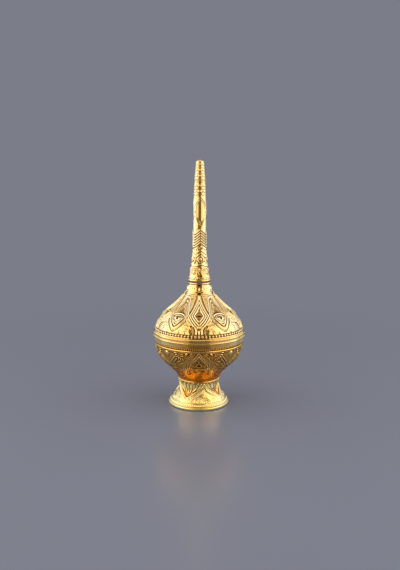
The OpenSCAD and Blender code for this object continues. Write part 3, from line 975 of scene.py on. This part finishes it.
def stamped_gold(name, colors, creased=0.15, dull=0.1, low=None):
    """Gold plate with a painted highlight on its high spots, painted amber shade in its sunk fields and
    painted dark shade in its creases, read from the relief.
    creased is the depth in mm at which the painted crease shade is darkest, and dull the roughness. low is
    (colour, height below which the plate takes it, height above which it doesn't): a painted reflection."""
    material, tree, shader = new_material(name)
    wear = handled(tree, smudge=0.06, scratch=0.25)
    relief, grain, hollow = [node(tree, "ShaderNodeAttribute", {"attribute_name": kept}).outputs["Fac"]
                             for kept in ("relief", "grain", "hollow")]
    place = node(tree, "ShaderNodeTexCoord").outputs["Object"]
    base = tone_and_painted_sheen(tree, wear, colors)
    # painted reflection of the foot's gold, below a height
    if low:
        color, start, stop = low
        height = node(tree, "ShaderNodeSeparateXYZ", Vector=place).outputs["Z"]
        base = mixed(tree, ramped(tree, height, stop, start), base, color)
    # painted highlight on the high spots of the relief
    base = mixed(tree, ramped(tree, relief, 0.2, 0.9, top=0.7), base, PAINTED_HIGHLIGHT_GOLD)
    # painted shade in the sunk fields
    base = mixed(tree, ramped(tree, relief, -0.08, -0.6), base, SUNK_SHADE_GOLD)
    # painted shade in the creases and round the pits
    base = mixed(tree, ramped(tree, hollow, 0.2 * creased, creased), base, CREASE_SHADE_GOLD)
    punch = node(tree, "ShaderNodeTexVoronoi", Vector=place, Scale=1100.0).outputs["Distance"]
    dots = reckoned(tree, "MULTIPLY", punch, grain)
    rough = reckoned(tree, "MULTIPLY_ADD", grain, 0.1, wear["Roughness"])
    rough = reckoned(tree, "ADD", rough, dull)
    fine = node(tree, "ShaderNodeBump", Strength=0.05, Distance=HAIR_DEPTH, Height=wear["Height"])
    bump = node(tree, "ShaderNodeBump", Strength=0.7, Distance=PUNCH_DEPTH, Height=dots,
                Normal=fine.outputs["Normal"])
    finished(tree, shader, base, rough, bump, 1.0)
    return material


def plain_metal(name, colors, roughness, scratch):
    """Smooth metal with handling marks only."""
    material, tree, shader = new_material(name)
    wear = handled(tree, smudge=0.07, scratch=scratch)
    rough = reckoned(tree, "ADD", wear["Roughness"], roughness)
    bump = node(tree, "ShaderNodeBump", Strength=0.06, Distance=HAIR_DEPTH, Height=wear["Height"])
    finished(tree, shader, tone_and_painted_sheen(tree, wear, colors), rough, bump, 1.0)
    return material


def washer_rubber():
    """Brown rubber, dull and a little uneven."""
    material, tree, shader = new_material("washer_rubber")
    wear = handled(tree, smudge=0.15, scratch=0.3)
    base = mixed(tree, wear["Tone"], (0.24, 0.13, 0.05, 1), (0.30, 0.165, 0.065, 1))
    rough = reckoned(tree, "ADD", wear["Roughness"], 0.6)
    bump = node(tree, "ShaderNodeBump", Strength=0.3, Distance=HAIR_DEPTH, Height=wear["Height"])
    finished(tree, shader, base, rough, bump, 0.0)
    return material


# Pieces

def pierced(piece, low, high):
    """Drill a ring of six upright holes between two levels in mm. The seventh hole, in the
    middle, is already open in the tip's outline."""
    drills = []
    for turn in np.radians(np.arange(0, 360, 60)):
        x, y = HOLES_OUT * math.cos(turn), HOLES_OUT * math.sin(turn)
        bpy.ops.mesh.primitive_cylinder_add(vertices=16, radius=HOLE_R * MM, depth=(high - low) * MM,
                                            location=(x * MM, y * MM, (low + high) / 2 * MM))
        drills.append(bpy.context.active_object)
    for drill in drills:
        drill.select_set(True)
    bpy.ops.object.join()
    drill = bpy.context.active_object
    bore = piece.modifiers.new("bore", "BOOLEAN")
    bore.operation = "DIFFERENCE"
    bore.object = drill
    applied(piece, "bore")
    bpy.data.objects.remove(drill)
    return piece


def dress(piece, body, slot, material, *nodes):
    """Give a new piece its finish and its body, and hide the nodes that it stands for."""
    piece.data.materials.clear()
    piece.data.materials.append(material)
    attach(piece, body)
    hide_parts(*nodes)
    return piece


STAMPED = stamped_gold("stamped_gold", GOLD)
CHASED = stamped_gold("chased_gold", GOLD, creased=0.22)
STAMPED_DEEP = stamped_gold("stamped_deep_gold", SHADED_DEEP_GOLD, creased=0.12, dull=0.2,
                            low=(STEM_REFLECTION_GOLD, 0.038, 0.047))
STAMPED_PALE = stamped_gold("stamped_pale_gold", LIT_PALE_GOLD, creased=0.4)
POLISHED = plain_metal("polished_gold", SHADED_BELT_GOLD, roughness=0.12, scratch=0.2)
POLISHED_PALE = plain_metal("polished_pale_gold", LIT_PALE_GOLD, roughness=0.3, scratch=0.2)
BRASS = plain_metal("turned_brass", PLAIN_BRASS, roughness=0.24, scratch=0.6)
STEEL = plain_metal("zinc_steel", ZINC, roughness=0.28, scratch=0.6)
RUBBER = washer_rubber()

dress(pressed("stamped_dome", dome_outline, columns=620, spacing=0.44, strokes=dome_strokes(),
              fields=dome_fields(), repeats=DOME_REPEATS, pits=DOME_PITS,
              hidden=(belt + 0.5, girdle_high - 0.7), inner=lining(dome_outline)),
      "vessel", "gold_plate", STAMPED, "dome")
dress(pressed("stamped_bowl", bowl_outline, columns=640, spacing=0.42, strokes=bowl_strokes(),
              fields=bowl_fields(), repeats=BOWL_REPEATS, pits=BOWL_PITS,
              hidden=(girdle_low + 0.5, belt - 0.5), inner=lining(bowl_outline, floor=bowl_low + 1.4)),
      "vessel", "gold_plate", STAMPED_DEEP, "bowl")
dress(pressed("stamped_foot", foot_outline, columns=540, spacing=0.33, strokes=foot_strokes(),
              fields=foot_fields(), repeats=FOOT_REPEATS, turn=FOOT_TURN, inner=lining(foot_outline)),
      "vessel", "gold_plate", STAMPED_PALE, "foot")
dress(pressed("chased_spout", spout_outline, columns=240, spacing=0.3, strokes=spout_strokes(),
              fields=spout_fields(), repeats=TRUMPET_REPEATS, turn=SPOUT_TURN, pits=SPOUT_PITS,
              inner=lining(spout_outline)),
      "spout_unit", "gold_plate", CHASED, "spout")
tip = pressed("chased_tip", tip_outline, columns=160, spacing=0.22, strokes=tip_strokes(),
              inner=lining(tip_outline, spacing=4.0))
dress(pierced(tip, tip_high - 2.6, tip_high + 1), "spout_unit", "gold_plate", CHASED, "sprinkler_tip")

CAD_FINISH = {
    "foot_rim": POLISHED_PALE, "girdle": POLISHED, "waist_ring": POLISHED,
    "foot_web": BRASS, "bowl_stud": BRASS, "lap_ring": BRASS, "neck_collar": BRASS, "spout_bush": BRASS,
    "foot_washer": STEEL, "foot_nut": STEEL, "neck_gasket": RUBBER,
}
for name, material in CAD_FINISH.items():
    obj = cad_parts[name]
    obj.data.materials.clear()
    obj.data.materials.append(material)


# Floor, backdrop, lights and camera

BACKDROP = (0.198, 0.205, 0.250, 1)
FLOOR_PAINT = (0.195, 0.201, 0.24, 1)
WORLD_LIGHT = (0.3, 0.31, 0.34, 1)
FLOOR_R, FADE_START, FADE_END = 0.9, 0.16, 0.6      # m, from the axis

# Soft lamp panels: name, place, point faced, width, height and glow. The two overhead ones
# face a point 1 mm off straight down, which sets how they lie.
LAMPS = [
    ("left_panel", (-0.9, -0.8, 0.75), (0, -0.8, 0.75), 2.2, 1.4, 1.6),
    ("right_panel", (0.9, -0.72, 0.75), (0, -0.72, 0.75), 2.05, 1.4, 1.5),
    ("left_back", (-0.9, 0.95, 0.75), (0, 0.95, 0.75), 1.3, 1.4, 0.8),
    ("right_back", (0.9, 0.95, 0.75), (0, 0.95, 0.75), 1.3, 1.4, 0.7),
    ("top_panel", (0, 0.05, 1.5), (0, 0.051, 0), 1.5, 1.1, 0.65),
    ("top_front", (0, -0.85, 1.5), (0, -0.849, 0), 1.5, 0.7, 1.15),
]


def studio():
    """A pale floor that fades into a plain backdrop."""
    bpy.ops.mesh.primitive_circle_add(vertices=96, radius=FLOOR_R, fill_type="NGON", location=(0, 0, 0))
    floor = bpy.context.active_object
    floor.name = "floor"
    material, tree, shader = new_material("floor_paint")
    place = node(tree, "ShaderNodeTexCoord").outputs["Object"]
    cloud = noise(tree, place, Scale=3.0)
    darker = tuple(0.96 * c for c in FLOOR_PAINT[:3]) + (1,)
    plugged(tree, shader.inputs["Base Color"], mixed(tree, cloud, FLOOR_PAINT, darker))
    shader.inputs["Roughness"].default_value = 0.25
    reach = node(tree, "ShaderNodeVectorMath", {"operation": "LENGTH"})
    plugged(tree, reach.inputs[0], place)
    fade = ramped(tree, reach.outputs["Value"], FADE_START, FADE_END, interpolation_type="SMOOTHSTEP")
    clear = tree.nodes.new("ShaderNodeBsdfTransparent")
    blend = tree.nodes.new("ShaderNodeMixShader")
    for socket, value in zip(blend.inputs, (fade, shader.outputs[0], clear.outputs[0])):
        plugged(tree, socket, value)
    plugged(tree, tree.nodes["Material Output"].inputs["Surface"], blend.outputs[0])
    floor.data.materials.append(material)

    world = bpy.data.worlds.new("studio")
    bpy.context.scene.world = world
    world.use_nodes = True
    tree = world.node_tree
    background = tree.nodes["Background"]
    path = node(tree, "ShaderNodeLightPath")
    seen = reckoned(tree, "MAXIMUM", path.outputs["Is Camera Ray"], path.outputs["Is Glossy Ray"])
    plugged(tree, background.inputs["Color"], mixed(tree, seen, WORLD_LIGHT, BACKDROP))
    background.inputs["Strength"].default_value = 1.0


def softbox(name, place, aim, width, height, glow):
    """A soft lamp panel. glow is how bright its face is, where 1 is white."""
    lamp = bpy.data.lights.new(name, "AREA")
    lamp.shape = "RECTANGLE"
    lamp.size, lamp.size_y = width, height
    lamp.energy = glow * math.pi * width * height
    obj = bpy.data.objects.new(name, lamp)
    bpy.context.collection.objects.link(obj)
    obj.location = place
    obj.rotation_euler = (Vector(aim) - Vector(place)).to_track_quat("-Z", "Y").to_euler()


def camera():
    """The photograph's view: 9.8 degrees above level, rolled a little, with the object's axis
    just left of the middle."""
    frame_height, focal, left = 570, 710, 0.7       # pixels
    place, aim = Vector((0, -0.7140, 0.2473)), Vector((0, 0, 0.124))
    roll = Quaternion((0, 0, 1), math.radians(0.32))
    lens = bpy.data.cameras.new("camera")
    lens.sensor_fit = "VERTICAL"
    lens.sensor_height = 36
    lens.lens = focal / frame_height * lens.sensor_height
    lens.shift_x = left / frame_height
    obj = bpy.data.objects.new("camera", lens)
    bpy.context.collection.objects.link(obj)
    obj.location = place
    obj.rotation_euler = ((aim - place).to_track_quat("-Z", "Y") @ roll).to_euler()
    bpy.context.scene.camera = obj


studio()
for lamp in LAMPS:
    softbox(*lamp)
camera()
bpy.context.scene.view_settings.view_transform = "Standard"
